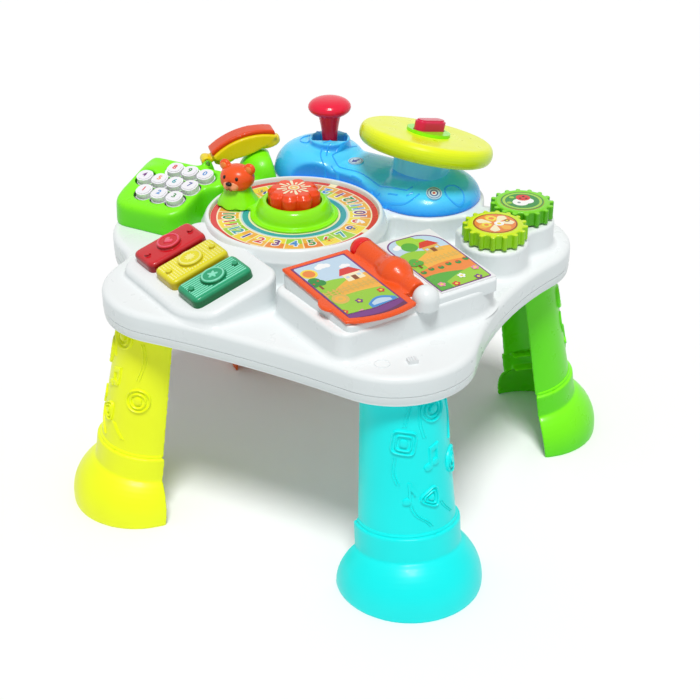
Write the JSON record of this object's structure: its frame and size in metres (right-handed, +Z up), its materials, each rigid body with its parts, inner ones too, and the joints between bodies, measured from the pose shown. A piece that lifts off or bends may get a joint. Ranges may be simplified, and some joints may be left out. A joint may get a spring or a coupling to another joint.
{
  "type": "musical activity table",
  "caption": "Toddler activity table: scalloped tray top on flared half-shell legs with a turning dial, piano keys, toy phone, steering wheel, shift lever, meshed gears and a flip page",
  "frame": {"origin": "on the floor, under the middle of the bounding box; the four leg axes stand at equal distances around a point 19.6 mm towards -Y of it", "axes": "+Z up; the phone is towards +Y, the steering console towards +X, the piano towards -X and the book towards -Y; legs at the diagonals: orange +X+Y, yellow -X+Y, teal -X-Y, green +X-Y"},
  "size_m": [0.4922, 0.53, 0.3813],
  "materials": {
    "white_plastic": "moulded, satin",
    "yellow_plastic": "moulded, fine texture",
    "teal_plastic": "moulded, fine texture",
    "green_plastic": "moulded, fine texture",
    "orange_plastic": "moulded, fine texture",
    "dial_print": "printed sheet",
    "lime_plastic": "moulded",
    "bear_plastic": "moulded, painted face",
    "muzzle_plastic": "moulded",
    "button_plastic": "moulded",
    "key_red": "moulded",
    "key_yellow": "moulded, ribbed",
    "key_green": "moulded, ribbed",
    "phone_key_white": "moulded",
    "contact_rubber": "soft",
    "handset_yellow": "moulded",
    "handset_orange": "moulded",
    "steel": "turned",
    "console_blue": "translucent, glossy",
    "badge_print": "printed disc",
    "lever_red": "moulded",
    "grey_plastic": "moulded",
    "wheel_yellow": "moulded",
    "horn_red": "moulded",
    "gear_front_plastic": "moulded",
    "gear_back_plastic": "moulded",
    "gear_print": "printed disc",
    "book_orange": "moulded",
    "book_print": "printed sheet",
    "cap_red": "moulded",
    "switch_orange": "moulded",
    "battery_label": "printed sleeve",
    "contact_steel": "plated",
    "board_green": "lacquered board",
    "speaker_black": "paper cone and frame"
  },
  "bodies": {
    "table": {"top_shell": "white_plastic", "base_shell": "white_plastic", "battery_door": "white_plastic", "battery_door_screw": "steel", "case_screws": "steel", "batteries": "battery_label", "battery_contacts": "contact_steel", "circuit_board": "board_green", "speaker": "speaker_black", "leg_orange": "orange_plastic", "leg_yellow": "yellow_plastic", "leg_teal": "teal_plastic", "leg_green": "green_plastic", "dial_label": "dial_print", "key_contact_mat": "contact_rubber", "phone_base": "green_plastic", "phone_contact_mat": "contact_rubber", "handset_hinge_pin": "steel", "console_cover": "console_blue", "console_badges": "badge_print", "lever_bracket": "grey_plastic", "lever_pin": "steel", "gear_axles": "steel", "book_left_panel": "book_print", "book_right_page": "book_print", "hinge_post": "white_plastic", "spine_cap": "cap_red", "page_hinge_pin": "steel"},
    "bear": {"bear_ring": "lime_plastic", "bear_head": "bear_plastic", "bear_muzzle": "muzzle_plastic"},
    "button": {"center_button": "button_plastic"},
    "key_red": {"piano_key_red": "key_red"},
    "key_yellow": {"piano_key_yellow": "key_yellow"},
    "key_green": {"piano_key_green": "key_green"},
    "handset": {"handset_shell": "handset_yellow", "handset_back": "handset_orange"},
    "lever": {"gear_lever": "lever_red"},
    "wheel": {"steering_wheel": "wheel_yellow", "wheel_clip": "grey_plastic", "wheel_hub": "lime_plastic"},
    "horn": {"horn_button": "horn_red"},
    "gear_a": {"gear_front": "gear_front_plastic", "gear_front_label": "gear_print"},
    "gear_b": {"gear_back": "gear_back_plastic", "gear_back_label": "gear_print"},
    "page": {"book_page": "book_orange", "book_page_picture_front": "book_print", "book_page_picture_back": "book_print"},
    "switch": {"power_switch": "switch_orange"},
    "digit_1": {"phone_key_1": "phone_key_white"},
    "digit_2": {"phone_key_2": "phone_key_white"},
    "digit_3": {"phone_key_3": "phone_key_white"},
    "digit_4": {"phone_key_4": "phone_key_white"},
    "digit_5": {"phone_key_5": "phone_key_white"},
    "digit_6": {"phone_key_6": "phone_key_white"},
    "digit_7": {"phone_key_7": "phone_key_white"},
    "digit_8": {"phone_key_8": "phone_key_white"},
    "digit_9": {"phone_key_9": "phone_key_white"},
    "digit_0": {"phone_key_0": "phone_key_white"}
  },
  "joints": [
    {"name": "bear_ring_spin", "type": "hinge", "parent": "table", "child": "bear", "pos_m": [0.00516, 0.04335, 0.2966], "axis": [0, 0, 1], "continuous": true},
    {"name": "center_button_press", "type": "slide", "parent": "table", "child": "button", "axis": [0, 0, -1], "range_m": [0, 0.003], "stiffness_N_per_m": 300, "springref_m": -0.004},
    {"name": "piano_red_press", "type": "slide", "parent": "table", "child": "key_red", "axis": [0.236, -0.1255, -0.9636], "range_m": [0, 0.003], "stiffness_N_per_m": 300, "springref_m": -0.004},
    {"name": "piano_yellow_press", "type": "slide", "parent": "table", "child": "key_yellow", "axis": [0.236, -0.1255, -0.9636], "range_m": [0, 0.003], "stiffness_N_per_m": 300, "springref_m": -0.004},
    {"name": "piano_green_press", "type": "slide", "parent": "table", "child": "key_green", "axis": [0.236, -0.1255, -0.9636], "range_m": [0, 0.003], "stiffness_N_per_m": 300, "springref_m": -0.004},
    {"name": "phone_1_press", "type": "slide", "parent": "table", "child": "digit_1", "axis": [0.2588, 0, -0.9659], "range_m": [0, 0.002], "stiffness_N_per_m": 200, "springref_m": -0.002},
    {"name": "phone_2_press", "type": "slide", "parent": "table", "child": "digit_2", "axis": [0.2588, 0, -0.9659], "range_m": [0, 0.002], "stiffness_N_per_m": 200, "springref_m": -0.002},
    {"name": "phone_3_press", "type": "slide", "parent": "table", "child": "digit_3", "axis": [0.2588, 0, -0.9659], "range_m": [0, 0.002], "stiffness_N_per_m": 200, "springref_m": -0.002},
    {"name": "phone_4_press", "type": "slide", "parent": "table", "child": "digit_4", "axis": [0.2588, 0, -0.9659], "range_m": [0, 0.002], "stiffness_N_per_m": 200, "springref_m": -0.002},
    {"name": "phone_5_press", "type": "slide", "parent": "table", "child": "digit_5", "axis": [0.2588, 0, -0.9659], "range_m": [0, 0.002], "stiffness_N_per_m": 200, "springref_m": -0.002},
    {"name": "phone_6_press", "type": "slide", "parent": "table", "child": "digit_6", "axis": [0.2588, 0, -0.9659], "range_m": [0, 0.002], "stiffness_N_per_m": 200, "springref_m": -0.002},
    {"name": "phone_7_press", "type": "slide", "parent": "table", "child": "digit_7", "axis": [0.2588, 0, -0.9659], "range_m": [0, 0.002], "stiffness_N_per_m": 200, "springref_m": -0.002},
    {"name": "phone_8_press", "type": "slide", "parent": "table", "child": "digit_8", "axis": [0.2588, 0, -0.9659], "range_m": [0, 0.002], "stiffness_N_per_m": 200, "springref_m": -0.002},
    {"name": "phone_9_press", "type": "slide", "parent": "table", "child": "digit_9", "axis": [0.2588, 0, -0.9659], "range_m": [0, 0.002], "stiffness_N_per_m": 200, "springref_m": -0.002},
    {"name": "phone_0_press", "type": "slide", "parent": "table", "child": "digit_0", "axis": [0.2588, 0, -0.9659], "range_m": [0, 0.002], "stiffness_N_per_m": 200, "springref_m": -0.002},
    {"name": "handset_lift", "type": "hinge", "parent": "table", "child": "handset", "pos_m": [0.058, 0.1924, 0.313], "axis": [-0.7193, -0.6947, 0], "range_deg": [0, 70]},
    {"name": "lever_tilt", "type": "hinge", "parent": "table", "child": "lever", "pos_m": [0.144, 0.0744, 0.303], "axis": [0.9135, 0.4067, 0], "range_deg": [-18, 18]},
    {"name": "wheel_turn", "type": "hinge", "parent": "table", "child": "wheel", "pos_m": [0.143, -0.0506, 0.3505], "axis": [0.2416, -0.0928, 0.9659], "range_deg": [-45, 45]},
    {"name": "horn_press", "type": "slide", "parent": "wheel", "child": "horn", "axis": [-0.2416, 0.0928, -0.9659], "range_m": [0, 0.0025], "stiffness_N_per_m": 200, "springref_m": -0.002},
    {"name": "gear_front_spin", "type": "hinge", "parent": "table", "child": "gear_a", "pos_m": [0.063, -0.1721, 0.293], "axis": [0, 0, 1], "continuous": true},
    {"name": "gear_back_spin", "type": "hinge", "parent": "table", "child": "gear_b", "pos_m": [0.12991, -0.17561, 0.293], "axis": [0, 0, 1], "continuous": true},
    {"name": "page_flip", "type": "hinge", "parent": "table", "child": "page", "pos_m": [-0.0844, -0.12083, 0.306], "axis": [0.4683, 0.8808, 0.0698], "range_deg": [0, 178]},
    {"name": "power_switch_slide", "type": "slide", "parent": "table", "child": "switch", "axis": [0.7071, -0.7071, 0], "range_m": [-0.005, 0.005]}
  ],
  "couplings": [
    {"joint": "gear_back_spin", "follows": "gear_front_spin", "ratio": -1}
  ]
}
